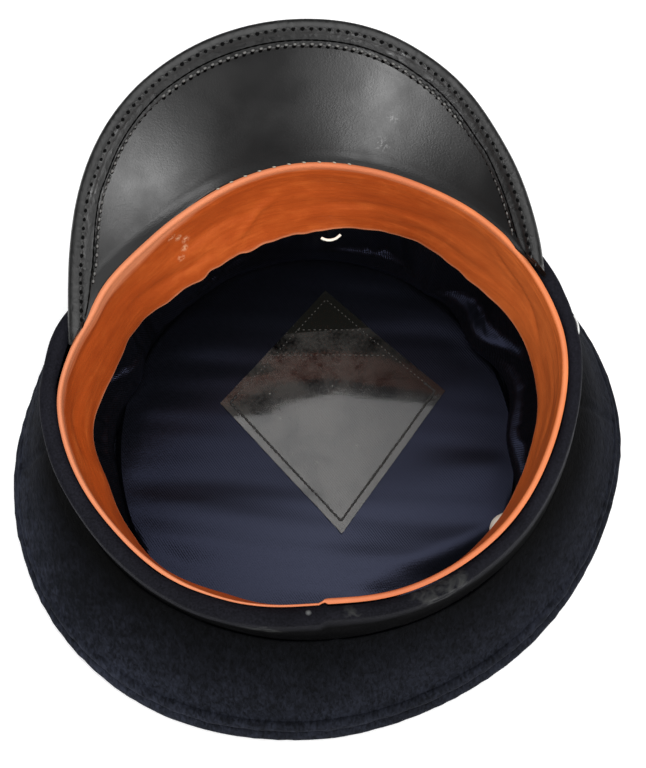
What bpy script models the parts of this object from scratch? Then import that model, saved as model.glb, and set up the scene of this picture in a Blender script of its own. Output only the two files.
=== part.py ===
"""A peaked cap of dark navy wool, lying upside down on the flat top of its crown.

The opening faces up, so the leather sweatband and the lining show, and the peak points along +Y.
Metres, +Z up. The origin is in the middle of the crown's outer face, on the surface it rests on.
Angles run round the cap from the front, in degrees, and grow towards +X.
"""
import math

import bmesh
import bpy
from mathutils import Vector

# The opening, measured to the outer face of the band at the rim
rim_half_width = 0.1032
rim_half_length = 0.0938
rim_height = 0.0838
rim_set_back = 0.0016
rim_tilt = math.radians(6.5)
rim_corners = 60

# The band and its cloth, which turns in over the rim
band_height = 0.0440
band_wall = 0.0022
roll_width = 0.0058
band_middle = 0.45
seat_drop = 0.0032
seat_margin = math.radians(6.0)
seat_ease = math.radians(12.0)

# The leather sweatband, folded over the rim and loose at its lower edge
sweatband_depth = 0.0385
sweatband_wall = 0.0011
fold_width = 0.0029

# The crown: four quarters, a piping and a flat top panel
crown_half_width = 0.1273
crown_half_length = 0.1220
crown_wall = 0.0020
panel_curl_width = 0.0032
panel_curl_height = 0.0068
piping_radius = 0.0011
piping_bed = 0.6
quarter_fullness = 0.0022

# The lining: a flat tip and a gathered side
tip_half_width = 0.0845
tip_half_length = 0.0905
lining_wall = 0.0010
lining_tuck = 0.0200
lining_corners = 84

# The sweat shield: a clear sheet in a stitched tape frame, sewn to the tip
shield_front_length = 0.0525
shield_rear_length = 0.0608
shield_half_width = 0.0475
shield_shift_right = 0.0085
shield_shift_front = 0.0222
shield_turn = math.radians(1.6)
shield_wall = 0.0005
tape_width = 0.0032
tape_wall = 0.0007

# The peak and the leather binding sewn round its edge
peak_length = 0.0610
peak_slope = math.radians(50.0)
peak_wall = 0.0018
peak_root_drop = 0.0006
peak_stations = 36
binding_width = 0.0080
binding_wall = 0.0007
binding_clearance = 0.0004
binding_share = 0.6

# A domed metal button on each side of the band
button_radius = 0.0050
button_rise = 0.0026
button_angle = math.radians(81.0)
button_drop = 0.0130

# A slip of white card behind the sweatband, whose lower edge falls inwards below the leather
slip_width = 0.0170
slip_tuck = 0.0120
slip_drop = 0.0050
slip_lean = 0.0042
slip_wall = 0.0005
slip_angle = math.radians(128.0)
slip_steps = 8

# A loop of ivory tape that bows inwards under the sweatband's front edge
loop_span = 0.0080
loop_bow = 0.0030
loop_radius = 0.0006
loop_angle = math.radians(6.5)
loop_steps = 8

# The clear gap that neighbouring pieces keep
gap = 0.0003

# How far each stretch of an outline stands from its ellipse: angle, share of the radius
rim_outline = (
    (-180, 1.000), (-150, 1.010), (-125, 1.016), (-100, 1.008), (-86, 0.996), (-72, 0.980),
    (-52, 0.922), (-35, 0.946), (-18, 0.987), (0, 1.000), (20, 0.988), (36, 0.980),
    (60, 0.998), (80, 1.000), (110, 0.998), (145, 1.000),
)
crown_outline = (
    (-180, 0.995), (-165, 1.012), (-150, 1.032), (-135, 1.039), (-120, 1.032), (-105, 1.014),
    (-88, 0.992), (-69, 0.971), (-50, 1.000), (-25, 1.020), (0, 1.030), (30, 1.025),
    (60, 1.010), (90, 1.005), (105, 0.980), (120, 0.966), (150, 0.965), (166, 0.975),
)
# How wide the turned-in cloth is round the rim, widest beside the ends of the peak: angle, share of its width
roll_outline = (
    (-180, 1.00), (-115, 1.00), (-92, 1.10), (-76, 1.48), (-58, 1.15), (-42, 1.00), (0, 1.00),
    (42, 1.00), (60, 1.35), (72, 1.35), (88, 0.95), (120, 0.95), (150, 1.00),
)
# How far the sweatband's free edge leans in: angle, share of its depth
sweatband_lean = (
    (-180, 0.07), (-140, 0.09), (-110, 0.12), (-85, 0.16), (-72, 0.13), (-60, 0.12),
    (-46, 0.19), (-38, 0.26), (-28, 0.32), (-12, 0.29), (0, 0.28), (12, 0.20),
    (22, 0.15), (35, 0.11), (48, 0.15), (62, 0.18), (76, 0.14), (92, 0.15), (108, 0.15),
    (122, 0.12), (138, 0.09),
)
# How the sweatband hangs: share of its depth, share of the lean
sweatband_fall = ((0.12, 0.00), (0.38, 0.16), (0.70, 0.58), (1.00, 1.00))
# How far the peak reaches from the rim, from its left end to its right: angle, share of its length
peak_outline = (
    (-73.5, 0.030), (-66, 0.131), (-58, 0.287), (-50, 0.467), (-42, 0.639), (-34, 0.783), (-26, 0.885),
    (-14, 0.971), (0, 1.000), (14, 0.959), (26, 0.832), (34, 0.709), (42, 0.549), (50, 0.397),
    (58, 0.238), (65, 0.110), (70, 0.025),
)
# The rows of the peak, from the rim to its edge: share of the way
peak_rows = (0.00, 0.16, 0.45, 0.75, 1.00)
# How full a quarter stands off a straight line from band to piping: share of the way, share of the fullness
quarter_section = ((0.00, 0.0), (0.16, 0.4), (0.38, 0.9), (0.62, 1.0), (0.84, 0.6), (1.00, 0.0))
# How the side lining falls below the band: share of the way down, share of the way in, share of the fold depth
lining_section = ((0.00, 0.00, 0.0), (0.26, 0.16, 0.7), (0.60, 0.48, 1.0), (0.86, 0.82, 0.7), (1.00, 1.00, 0.0))
# Folds of the side lining: angle, spread in degrees, share of the fold depth
lining_fold_depth = 0.0050
lining_folds = (
    (-118, 8, 0.5), (-92, 7, 0.8), (-74, 5, -0.7), (-62, 5, 1.0), (-47, 5, -0.8), (-33, 7, 0.7),
    (-14, 6, -0.5), (4, 6, 0.4), (24, 6, -0.6), (38, 6, 0.9), (50, 5, -0.8), (63, 6, 1.0),
    (78, 5, -0.5), (93, 8, 1.0), (114, 7, -0.6), (140, 9, 0.6), (168, 9, -0.4),
)


def follow(rows, place):
    """Reads a table of place and value along a smooth curve through its rows."""
    index = 0
    while index < len(rows) - 2 and place > rows[index + 1][0]:
        index += 1
    start, end = rows[index], rows[index + 1]
    before, after = rows[max(index - 1, 0)], rows[min(index + 2, len(rows) - 1)]
    span = end[0] - start[0]
    leave = (end[1] - before[1]) / (end[0] - before[0]) * span
    arrive = (after[1] - start[1]) / (after[0] - start[0]) * span
    share = (place - start[0]) / span
    ease = share * share * (3.0 - 2.0 * share)
    bend = share * (1.0 - share) * (leave * (1.0 - share) - arrive * share)
    return start[1] * (1.0 - ease) + end[1] * ease + bend


def around(rows, angle):
    """Reads a table of degrees and value that closes round the cap."""
    before = [(turn - 360.0, value) for turn, value in rows[-2:]]
    after = [(turn + 360.0, value) for turn, value in rows[:3]]
    turn = rows[0][0] + (math.degrees(angle) - rows[0][0]) % 360.0
    return follow([*before, *rows, *after], turn)


def ellipse_radius(half_width, half_length, angle):
    """Distance from the middle of an ellipse to its edge."""
    across = half_length * math.sin(angle)
    along = half_width * math.cos(angle)
    return half_width * half_length / math.hypot(across, along)


def full_rim_radius(angle):
    """The band's outer face at the rim, as it was made."""
    return ellipse_radius(rim_half_width, rim_half_length, angle)


def rim_radius(angle):
    """The band's outer face at the rim, pushed in where the old band has lost its shape."""
    return full_rim_radius(angle) * around(rim_outline, angle)


def roll_at(angle):
    """Width of the cloth that is turned in over the rim."""
    return roll_width * around(roll_outline, angle)


def crown_radius(angle):
    """The outermost line of the crown."""
    return ellipse_radius(crown_half_width, crown_half_length, angle) * around(crown_outline, angle)


def tip_radius(angle):
    """The edge of the flat lining tip."""
    return ellipse_radius(tip_half_width, tip_half_length, angle)


def band_point(angle, radius, depth):
    """A point of the band: depth runs down from the rim, along the tilted axis of the opening."""
    x = radius * math.sin(angle)
    y = radius * math.cos(angle)
    return Vector((
        x,
        -rim_set_back + y * math.cos(rim_tilt) + depth * math.sin(rim_tilt),
        rim_height + y * math.sin(rim_tilt) - depth * math.cos(rim_tilt),
    ))


def floor_point(angle, radius, height):
    """A point of the crown, which lies level."""
    return Vector((radius * math.sin(angle), radius * math.cos(angle), height))


def turns(count):
    """Angles evenly spaced round the cap, from the front."""
    return [math.tau * index / count for index in range(count)]


def peak_ends():
    """Angles at which the peak's left and right ends stand."""
    return math.radians(peak_outline[0][0]), math.radians(peak_outline[-1][0])


def peak_seat(angle):
    """How much lower the rolled cloth lies under the peak than elsewhere on the rim."""
    turn = math.atan2(math.sin(angle), math.cos(angle))
    left, right = peak_ends()
    past = max(turn - right, left - turn) - seat_margin
    share = min(max(1.0 - past / seat_ease, 0.0), 1.0)
    return seat_drop * share * share * (3.0 - 2.0 * share)


def principled(name, colour, roughness, metallic=0.0):
    """A plain material with one colour."""
    material = bpy.data.materials.new(name)
    material.use_nodes = True
    shader = material.node_tree.nodes["Principled BSDF"]
    shader.inputs["Base Color"].default_value = (*colour, 1.0)
    shader.inputs["Roughness"].default_value = roughness
    shader.inputs["Metallic"].default_value = metallic
    return material


def add_object(name, mesh, material):
    """Puts a mesh in the cap's collection under its plain name."""
    piece = bpy.data.objects.new(name, mesh)
    mesh.materials.append(material)
    cap.objects.link(piece)
    return piece


def loft_mesh(name, rings, closed_round, end_cap=False):
    """Joins rows of points with faces; each row has as many points as the next."""
    shape = bmesh.new()
    rows = [[shape.verts.new(point) for point in ring] for ring in rings]
    for first, second in zip(rows, rows[1:]):
        last = len(first) if closed_round else len(first) - 1
        for index in range(last):
            after = (index + 1) % len(first)
            shape.faces.new((first[index], first[after], second[after], second[index]))
    if end_cap:
        shape.faces.new(rows[-1])
    mesh = bpy.data.meshes.new(name)
    shape.to_mesh(mesh)
    shape.free()
    mesh.shade_smooth()
    mesh.set_sharp_from_angle(angle=math.radians(50.0))
    return mesh


def add_wall(piece, thickness):
    """Gives an open surface its wall, on the side that its faces turn away from."""
    wall = piece.modifiers.new("wall", "SOLIDIFY")
    wall.thickness = thickness
    wall.offset = -1.0
    wall.use_even_offset = True
    return piece


def make_band():
    """Stiff cloth band, whose cloth turns in over the rim and lies lower under the peak."""
    rings = []
    for degrees in (158.0, 118.0, 80.0, 40.0, 0.0):
        turn = math.radians(degrees)
        ring = []
        for angle in turns(rim_corners):
            half = roll_at(angle) / 2.0
            down = roll_width / 2.0 * (1.0 - math.sin(turn)) + peak_seat(angle)
            ring.append(band_point(angle, rim_radius(angle) - half * (1.0 - math.cos(turn)), down))
        rings.append(ring)
    for down in (band_height * band_middle, band_height):
        rings.append([band_point(angle, rim_radius(angle), down) for angle in turns(rim_corners)])
    mesh = loft_mesh("cap_band", rings, closed_round=True)
    add_wall(add_object("cap_band", mesh, band_cloth), band_wall)


def fold_outer(angle):
    """Radius at which the sweatband's fold begins, just inside the turned-in cloth."""
    return rim_radius(angle) - roll_at(angle) - 2.0 * gap


def sweatband_radius(angle, depth_share):
    """Radius of the sweatband's inner face, at a share of its depth."""
    lean = follow(sweatband_fall, depth_share) * around(sweatband_lean, angle) * sweatband_depth
    return fold_outer(angle) - fold_width - lean


def make_sweatband():
    """Leather strip, folded over the rim and hanging inside it, loose and leaning in at its lower edge."""
    half = fold_width / 2.0
    arc = [math.radians(degrees) for degrees in (38.0, 85.0, 130.0, 180.0)]
    fold = [(half * math.cos(turn) - half, half - half * math.sin(turn)) for turn in arc]
    rings = []
    for out, down in fold:
        rings.append([
            band_point(angle, fold_outer(angle) + out, down)
            for angle in turns(rim_corners)
        ])
    for depth_share in [row[0] for row in sweatband_fall]:
        rings.append([
            band_point(angle, sweatband_radius(angle, depth_share), depth_share * sweatband_depth)
            for angle in turns(rim_corners)
        ])
    mesh = loft_mesh("sweatband", rings[::-1], closed_round=True)
    add_wall(add_object("sweatband", mesh, tan_leather), sweatband_wall)


def piping_height():
    """Height of the middle of the piping, which lies on the top panel's curled edge."""
    return panel_curl_height + gap + piping_radius


def quarter_foot():
    """How far inside the crown's outermost line the quarters' outer face ends, beside the piping."""
    return panel_curl_width + piping_radius * (1.0 + piping_bed) + gap


def make_crown_side():
    """The quarters: a cloth wall that spreads from the band out and down to the piping."""
    rings = []
    for way, full in quarter_section:
        ring = []
        for angle in turns(rim_corners):
            top = band_point(angle, rim_radius(angle) - gap, band_height + 2.0 * gap)
            foot = floor_point(angle, crown_radius(angle) - quarter_foot(), piping_height() + gap)
            run = foot - top
            side = Vector((math.cos(angle), -math.sin(angle), 0.0))
            proud = side.cross(run).normalized()
            ring.append(top + run * way + proud * full * quarter_fullness)
        rings.append(ring)
    mesh = loft_mesh("crown_side", rings, closed_round=True)
    add_wall(add_object("crown_side", mesh, navy_wool), crown_wall)


def make_crown_piping():
    """Round piping cord in the seam between the quarters and the top panel."""
    path = bpy.data.curves.new("crown_piping", "CURVE")
    path.dimensions = "3D"
    path.bevel_depth = piping_radius
    path.bevel_resolution = 1
    spline = path.splines.new("POLY")
    spline.points.add(rim_corners - 1)
    for point, angle in zip(spline.points, turns(rim_corners)):
        middle = crown_radius(angle) - panel_curl_width - piping_radius * piping_bed
        point.co = (*floor_point(angle, middle, piping_height()), 1.0)
    spline.use_cyclic_u = True
    piece = bpy.data.objects.new("crown_piping", path)
    path.materials.append(navy_wool)
    cap.objects.link(piece)


def make_crown_top():
    """Top panel: flat where the cap rests on it, and curled up at its edge to meet the piping."""
    half = panel_curl_height / 2.0
    arc = [math.radians(degrees) for degrees in (112.0, 76.0, 38.0, 0.0, -42.0, -90.0)]
    rings = []
    for turn in arc:
        rings.append([
            floor_point(
                angle,
                crown_radius(angle) - panel_curl_width * (1.0 - math.cos(turn)),
                half + half * math.sin(turn),
            )
            for angle in turns(rim_corners)
        ])
    mesh = loft_mesh("crown_top", rings, closed_round=True, end_cap=True)
    add_wall(add_object("crown_top", mesh, navy_wool), crown_wall)


def tip_height():
    """Height of the lining tip's upper face, which lies on the top panel."""
    return crown_wall + gap + lining_wall


def make_crown_lining():
    """Flat oval tip of the lining, lying on the inside of the top panel."""
    ring = [floor_point(angle, tip_radius(angle), tip_height()) for angle in turns(lining_corners)]
    shape = bmesh.new()
    shape.faces.new([shape.verts.new(point) for point in reversed(ring)])
    mesh = bpy.data.meshes.new("crown_lining")
    shape.to_mesh(mesh)
    shape.free()
    add_wall(add_object("crown_lining", mesh, navy_satin), lining_wall)


def fold_out(angle):
    """How far the side lining's folds stand in or out, as a share of the fold depth."""
    total = 0.0
    for middle, spread, depth in lining_folds:
        away = (math.degrees(angle) - middle + 180.0) % 360.0 - 180.0
        total += depth * math.exp(-(away / spread) ** 2)
    return total


def make_side_lining():
    """Gathered side of the lining, from behind the sweatband down to the edge of the tip."""
    inset = band_wall + lining_wall + 2.0 * gap
    rings = [[band_point(angle, rim_radius(angle) - inset, lining_tuck) for angle in turns(lining_corners)]]
    for down_share, in_share, fold_share in lining_section:
        ring = []
        for angle in turns(lining_corners):
            neck = band_point(angle, rim_radius(angle) - inset, band_height)
            foot = floor_point(angle, tip_radius(angle) - lining_wall, tip_height() + gap + lining_wall)
            path = neck.lerp(foot, in_share)
            path.z = neck.z + (foot.z - neck.z) * down_share
            inward = Vector((-math.sin(angle), -math.cos(angle), 0.0))
            ring.append(path + inward * fold_out(angle) * fold_share * lining_fold_depth)
        rings.append(ring)
    mesh = loft_mesh("side_lining", rings[::-1], closed_round=True)
    add_wall(add_object("side_lining", mesh, navy_satin), lining_wall)


def shield_corner(along, across, height):
    """A point of the sweat shield, by its shares of the two half diagonals."""
    x = across * math.cos(shield_turn) + along * math.sin(shield_turn)
    y = along * math.cos(shield_turn) - across * math.sin(shield_turn)
    return Vector((x + shield_shift_right, y + shield_shift_front, height))


def diamond(shrink, height):
    """Four corners of the shield's outline, drawn in by an even width."""
    front_side = math.hypot(shield_front_length, shield_half_width)
    rear_side = math.hypot(shield_rear_length, shield_half_width)
    front = shield_front_length - shrink * front_side / shield_half_width
    rear = shield_rear_length - shrink * rear_side / shield_half_width
    slant = (front_side / shield_front_length + rear_side / shield_rear_length) / 2.0
    width = shield_half_width - shrink * slant
    corners = ((front, 0.0), (0.0, -width), (-rear, 0.0), (0.0, width))
    return [shield_corner(along, across, height) for along, across in corners]


def make_sweat_shield():
    """Clear diamond sheet on the tip, inside its frame of tape."""
    top = tip_height() + gap + shield_wall
    mesh = bpy.data.meshes.new("sweat_shield")
    shape = bmesh.new()
    shape.faces.new([shape.verts.new(point) for point in diamond(tape_width + gap, top)])
    shape.to_mesh(mesh)
    shape.free()
    add_wall(add_object("sweat_shield", mesh, clear_sheet), shield_wall)


def make_shield_border():
    """Narrow tape sewn round the edge of the sheet."""
    top = tip_height() + gap + tape_wall
    mesh = loft_mesh("shield_border", [diamond(0.0, top), diamond(tape_width, top)], closed_round=True)
    piece = add_object("shield_border", mesh, black_tape)
    add_wall(piece, tape_wall)


def peak_angles():
    """Stations along the peak, from its left end to its right."""
    left, right = peak_ends()
    return [left + (right - left) * index / (peak_stations - 1) for index in range(peak_stations)]


def peak_base(angle):
    """Inner edge of the peak's under face, along the sweatband's fold."""
    return band_point(angle, fold_outer(angle) + 2.0 * gap, peak_root_drop)


def peak_edge(angle):
    """Outer edge of the peak's under face; the stiff peak keeps the rim's first shape."""
    run = peak_length * follow(peak_outline, math.degrees(angle))
    radius = full_rim_radius(angle) - roll_width + run * math.cos(peak_slope)
    return band_point(angle, radius, peak_root_drop - run * math.sin(peak_slope))


def make_peak():
    """Stiff leather peak, rising from the rim and sewn under the sweatband's fold."""
    inset = binding_wall + binding_clearance + gap + peak_wall / 2.0
    rows = []
    for angle in peak_angles():
        base = peak_base(angle)
        run = peak_edge(angle) - base
        reach = max(run.length - inset, run.length * (1.0 - binding_share)) / run.length
        rows.append([base + run * reach * share for share in peak_rows])
    mesh = loft_mesh("peak", rows, closed_round=False)
    mesh.flip_normals()
    add_wall(add_object("peak", mesh, black_leather), peak_wall)


def make_peak_binding():
    """Leather strip folded round the peak's outer edge and sewn through it."""
    half = peak_wall / 2.0 + binding_clearance + binding_wall
    angles = peak_angles()
    edges = [peak_edge(angle) for angle in angles]
    rows = []
    for index, angle in enumerate(angles):
        before = edges[max(index - 1, 0)]
        after = edges[min(index + 1, len(edges) - 1)]
        along = (after - before).normalized()
        back = (peak_base(angle) - edges[index])
        reach = back.length
        normal = along.cross(back).normalized()
        inward = normal.cross(along).normalized()
        if inward.dot(back) < 0.0:
            inward = -inward
        if normal.z < 0.0:
            normal = -normal
        width = min(binding_width, reach * binding_share)
        middle = edges[index] - normal * (peak_wall / 2.0)
        section = ((width, half), (half * 0.5, half), (0.0, 0.0), (half * 0.5, -half), (width, -half))
        rows.append([middle + inward * back_step + normal * up for back_step, up in section])
    mesh = loft_mesh("peak_binding", rows, closed_round=False)
    add_wall(add_object("peak_binding", mesh, black_leather), binding_wall)


def make_button(name, side):
    """Domed metal button on the side of the band, turned from one profile."""
    profile = ((0.0, 0.0), (0.78, 0.0), (1.0, 0.22), (0.92, 0.55), (0.62, 0.86), (0.0, 1.0))
    shape = bmesh.new()
    points = [shape.verts.new((share * button_radius, 0.0, rise * button_rise)) for share, rise in profile]
    points.reverse()
    for first, second in zip(points, points[1:]):
        shape.edges.new((first, second))
    mesh = bpy.data.meshes.new(name)
    shape.to_mesh(mesh)
    shape.free()
    piece = add_object(name, mesh, silver)
    turned = piece.modifiers.new("turned", "SCREW")
    turned.steps = 14
    turned.render_steps = 14
    turned.use_merge_vertices = True
    turned.merge_threshold = 0.00005
    turned.use_smooth_shade = True
    angle = side * button_angle
    seat = band_point(angle, rim_radius(angle) + 2.0 * gap, button_drop)
    outward = (seat - band_point(angle, 0.0, button_drop)).normalized()
    piece.location = seat
    piece.rotation_mode = "QUATERNION"
    piece.rotation_quaternion = outward.to_track_quat("Z", "Y")


def make_paper_slip():
    """Slip of white card tucked in behind the rear of the sweatband, and leaning out below it."""
    rows = []
    for step in range(slip_steps + 1):
        share = step / slip_steps
        angle = slip_angle + (share - 0.5) * slip_width / rim_half_width
        lean = 4.0 * share * (1.0 - share) * slip_lean
        behind = sweatband_wall + gap
        tucked = sweatband_radius(angle, 1.0 - slip_tuck / sweatband_depth) + behind
        edge = sweatband_radius(angle, 1.0) + behind
        below = sweatband_depth + 2.0 * gap
        rows.append([
            band_point(angle, tucked, sweatband_depth - slip_tuck),
            band_point(angle, edge, below),
            band_point(angle, edge - lean, below + slip_drop),
        ])
    mesh = loft_mesh("paper_slip", rows, closed_round=False)
    add_wall(add_object("paper_slip", mesh, white_card), slip_wall)


def make_tape_loop():
    """Small bowed loop of ivory tape, hanging from the sweatband's lower edge at the front."""
    path = bpy.data.curves.new("tape_loop", "CURVE")
    path.dimensions = "3D"
    path.bevel_depth = loop_radius
    path.bevel_resolution = 1
    path.use_fill_caps = True
    spline = path.splines.new("POLY")
    spline.points.add(loop_steps)
    below = sweatband_depth + loop_radius + 2.0 * gap
    for step, point in enumerate(spline.points):
        share = step / loop_steps
        angle = loop_angle + (share - 0.5) * loop_span / rim_half_length
        bow = 4.0 * share * (1.0 - share) * loop_bow
        radius = sweatband_radius(angle, 1.0) + sweatband_wall / 2.0 - bow
        point.co = (*band_point(angle, radius, below), 1.0)
    piece = bpy.data.objects.new("tape_loop", path)
    path.materials.append(white_card)
    cap.objects.link(piece)


for old in list(bpy.data.objects):
    bpy.data.objects.remove(old, do_unlink=True)

cap = bpy.data.collections.new("peaked_cap")
bpy.context.scene.collection.children.link(cap)

navy_wool = principled("navy_wool", (0.010, 0.012, 0.022), 0.90)
band_cloth = principled("band_cloth", (0.012, 0.013, 0.018), 0.85)
tan_leather = principled("tan_leather", (0.52, 0.17, 0.06), 0.45)
navy_satin = principled("navy_satin", (0.014, 0.020, 0.050), 0.50)
black_leather = principled("black_leather", (0.012, 0.012, 0.012), 0.35)
black_tape = principled("black_tape", (0.020, 0.018, 0.018), 0.60)
clear_sheet = principled("clear_sheet", (0.20, 0.20, 0.22), 0.12)
silver = principled("silver", (0.75, 0.75, 0.74), 0.25, 1.0)
white_card = principled("white_card", (0.85, 0.80, 0.70), 0.70)

make_crown_top()
make_crown_piping()
make_crown_side()
make_band()
make_crown_lining()
make_side_lining()
make_sweat_shield()
make_shield_border()
make_sweatband()
make_paper_slip()
make_tape_loop()
make_peak()
make_peak_binding()
make_button("side_button_left", -1.0)
make_button("side_button_right", 1.0)
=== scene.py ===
import math

import bmesh
import bpy
from mathutils import Matrix, Vector, noise
from mathutils.bvhtree import BVHTree


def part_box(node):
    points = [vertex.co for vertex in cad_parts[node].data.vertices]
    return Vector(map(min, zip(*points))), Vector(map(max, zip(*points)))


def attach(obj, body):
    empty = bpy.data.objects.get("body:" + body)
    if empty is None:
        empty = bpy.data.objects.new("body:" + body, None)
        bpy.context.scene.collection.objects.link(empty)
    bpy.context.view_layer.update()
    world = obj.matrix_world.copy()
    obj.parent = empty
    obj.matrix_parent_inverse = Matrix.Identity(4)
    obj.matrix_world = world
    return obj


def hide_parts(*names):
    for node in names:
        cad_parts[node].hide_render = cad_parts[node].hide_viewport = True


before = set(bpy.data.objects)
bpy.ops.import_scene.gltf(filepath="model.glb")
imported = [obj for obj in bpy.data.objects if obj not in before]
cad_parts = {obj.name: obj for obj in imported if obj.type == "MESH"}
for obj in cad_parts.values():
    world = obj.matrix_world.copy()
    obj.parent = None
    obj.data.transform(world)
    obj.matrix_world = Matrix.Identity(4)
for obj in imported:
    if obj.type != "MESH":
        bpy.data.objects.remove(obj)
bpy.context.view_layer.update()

# ---- The table, the light and the camera
# A plain white table under soft studio light, with the camera above the rear of the upturned cap.
# A wide light hangs overhead, and ends above the cap's front; two low ones show in the peak's leather.

table_half = 3.0
table_drop = 0.0002


def closed_mesh(name, shape):
    """Turns finished mesh code into a mesh."""
    mesh = bpy.data.meshes.new(name)
    shape.to_mesh(mesh)
    shape.free()
    return mesh


def add_object(name, data):
    """A new object in the scene."""
    thing = bpy.data.objects.new(name, data)
    bpy.context.scene.collection.objects.link(thing)
    return thing


def grey(value):
    """A grey, or a share in a ramp."""
    return value, value, value, 1.0


def finish(name, base, roughness, **more):
    """A new material with its even values set on the shader."""
    material = bpy.data.materials.new(name)
    material.use_nodes = True
    shader = material.node_tree.nodes["Principled BSDF"]
    shader.inputs["Base Color"].default_value = base
    shader.inputs["Roughness"].default_value = roughness
    for key, value in more.items():
        shader.inputs[key.replace("_", " ")].default_value = value
    return material


table_shape = bmesh.new()
bmesh.ops.create_grid(table_shape, x_segments=1, y_segments=1, size=table_half)
bmesh.ops.translate(table_shape, vec=(0.0, 0.0, -table_drop), verts=table_shape.verts)
table_mesh = closed_mesh("table", table_shape)
table_mesh.materials.append(finish(
    "white_table", grey(0.96), 0.9, Emission_Color=grey(1.0), Emission_Strength=0.16,
))
table = add_object("table", table_mesh)


def hang_light(name, place, aim, width, height, watts):
    """A soft rectangular studio light."""
    light = bpy.data.lights.new(name, "AREA")
    light.shape = "RECTANGLE"
    light.size = width
    light.size_y = height
    light.energy = watts
    lamp = add_object(name, light)
    lamp.location = place
    lamp.rotation_euler = (Vector(place) - Vector(aim)).to_track_quat("Z", "Y").to_euler()


hang_light("overhead_light", (0.05, -0.18, 1.30), (0.05, -0.18, 0.0), 2.0, 1.72, 33.0)
hang_light("right_light", (1.01, -0.935, 0.53), (0.0, 0.10, 0.12), 0.42, 0.32, 8.0)
hang_light("rear_light", (-0.46, -1.26, 0.40), (0.0, 0.10, 0.12), 0.18, 0.40, 7.0)

room = bpy.data.worlds.new("room")
room.use_nodes = True
room_light = room.node_tree.nodes["Background"].inputs
room_light["Color"].default_value = (0.95, 0.97, 1.0, 1.0)
room_light["Strength"].default_value = 0.10
bpy.context.scene.world = room
bpy.context.scene.view_settings.view_transform = "Standard"

view_azimuth = math.radians(-5.0)
view_elevation = math.radians(66.0)
view_distance = 0.80
view_target = Vector((0.0033, 0.0100, 0.0500))

towards_camera = Vector((
    math.sin(view_azimuth) * math.cos(view_elevation),
    -math.cos(view_azimuth) * math.cos(view_elevation),
    math.sin(view_elevation),
))
camera_data = bpy.data.cameras.new("camera")
camera_data.sensor_width = 36.0
camera_data.lens = 93.75
camera = add_object("camera", camera_data)
camera.location = view_target + towards_camera * view_distance
camera.rotation_euler = towards_camera.to_track_quat("Z", "Y").to_euler()
bpy.context.scene.camera = camera

# ---- The crown's top panel
# A flat oval of dark navy melton wool that the upturned cap rests on, curled up at its edge.
# The wool is fulled and brushed, so its weave is hidden under a short nap.

# Painted shade and light: the first two greys paint the wool in the shade near the foot of the band; the other two
# colour the wool in light, towards its edge.
wool_deep_shade = grey(0.0005)
wool_shade = grey(0.0013)
wool_dark = (0.0052, 0.0060, 0.0088, 1.0)
wool_light = (0.0255, 0.0290, 0.0440, 1.0)
cut_crease = 0.5


def soft_copy(node, levels):
    """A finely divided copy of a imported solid, for cloth or leather; its cut edges are only a little rounded."""
    shape = bmesh.new()
    shape.from_mesh(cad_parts[node].data)
    bmesh.ops.remove_doubles(shape, verts=shape.verts, dist=0.00001)
    bmesh.ops.join_triangles(
        shape, faces=shape.faces, angle_face_threshold=math.radians(25.0), angle_shape_threshold=math.radians(60.0),
    )
    crease = shape.edges.layers.float.new("crease_edge")
    for edge in shape.edges:
        if edge.calc_face_angle(0.0) > math.radians(65.0):
            edge[crease] = cut_crease
    mesh = closed_mesh(node + "_coarse", shape)
    coarse = add_object(node + "_coarse", mesh)
    divide = coarse.modifiers.new("divide", "SUBSURF")
    divide.levels = levels
    divide.render_levels = levels
    fine = bpy.data.meshes.new_from_object(coarse.evaluated_get(bpy.context.evaluated_depsgraph_get()))
    bpy.data.objects.remove(coarse, do_unlink=True)
    bpy.data.meshes.remove(mesh)
    return fine


def show(name, mesh, material, slot, *nodes):
    """Puts a finished mesh on the cap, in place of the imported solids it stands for."""
    piece = add_object(name, mesh)
    mesh.materials.clear()
    mesh.materials.append(material)
    mesh.shade_smooth()
    mesh.set_sharp_from_angle(angle=math.radians(50.0))
    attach(piece, "root")
    if nodes:
        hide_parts(*nodes)
    return piece


def wire(material, kind, inputs=None, **settings):
    """Adds one node to a material; an input takes a value, or another node's output."""
    node = material.node_tree.nodes.new("ShaderNode" + kind)
    for key, value in settings.items():
        setattr(node, key, value)
    for key, value in (inputs or {}).items():
        if isinstance(value, bpy.types.NodeSocket):
            material.node_tree.links.new(value, node.inputs[key])
        else:
            node.inputs[key].default_value = value
    return node


def join(material, output, key):
    """Leads a node's output to the material's shader."""
    material.node_tree.links.new(output, material.node_tree.nodes["Principled BSDF"].inputs[key])


def grain(material, place, scale, stretch=(1.0, 1.0, 1.0), turn=0.0, detail=3.0, warp=0.0):
    """A noise pattern over a piece, as a value from 0 to 1."""
    laid = wire(material, "Mapping", {"Vector": place, "Rotation": (0.0, 0.0, turn), "Scale": stretch})
    pattern = wire(material, "TexNoise", {
        "Vector": laid.outputs["Vector"], "Scale": scale, "Detail": detail, "Distortion": warp,
    })
    return pattern.outputs["Fac"]


def shades(material, value, *stops):
    """Turns a value into a colour or a share; each stop is a place and a colour."""
    ramp = wire(material, "ValToRGB", {"Fac": value})
    band = ramp.color_ramp
    while len(band.elements) < len(stops):
        band.elements.new(0.5)
    for element, (spot, colour) in zip(band.elements, stops):
        element.position = spot
        element.color = colour
    return ramp.outputs["Color"]


def mixed(material, share, first, second):
    """Mixes two colours by a share."""
    blend = wire(material, "Mix", {"Factor": share}, data_type="RGBA")
    for key, value in ((6, first), (7, second)):
        if isinstance(value, bpy.types.NodeSocket):
            material.node_tree.links.new(value, blend.inputs[key])
        else:
            blend.inputs[key].default_value = value
    return blend.outputs[2]


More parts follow.
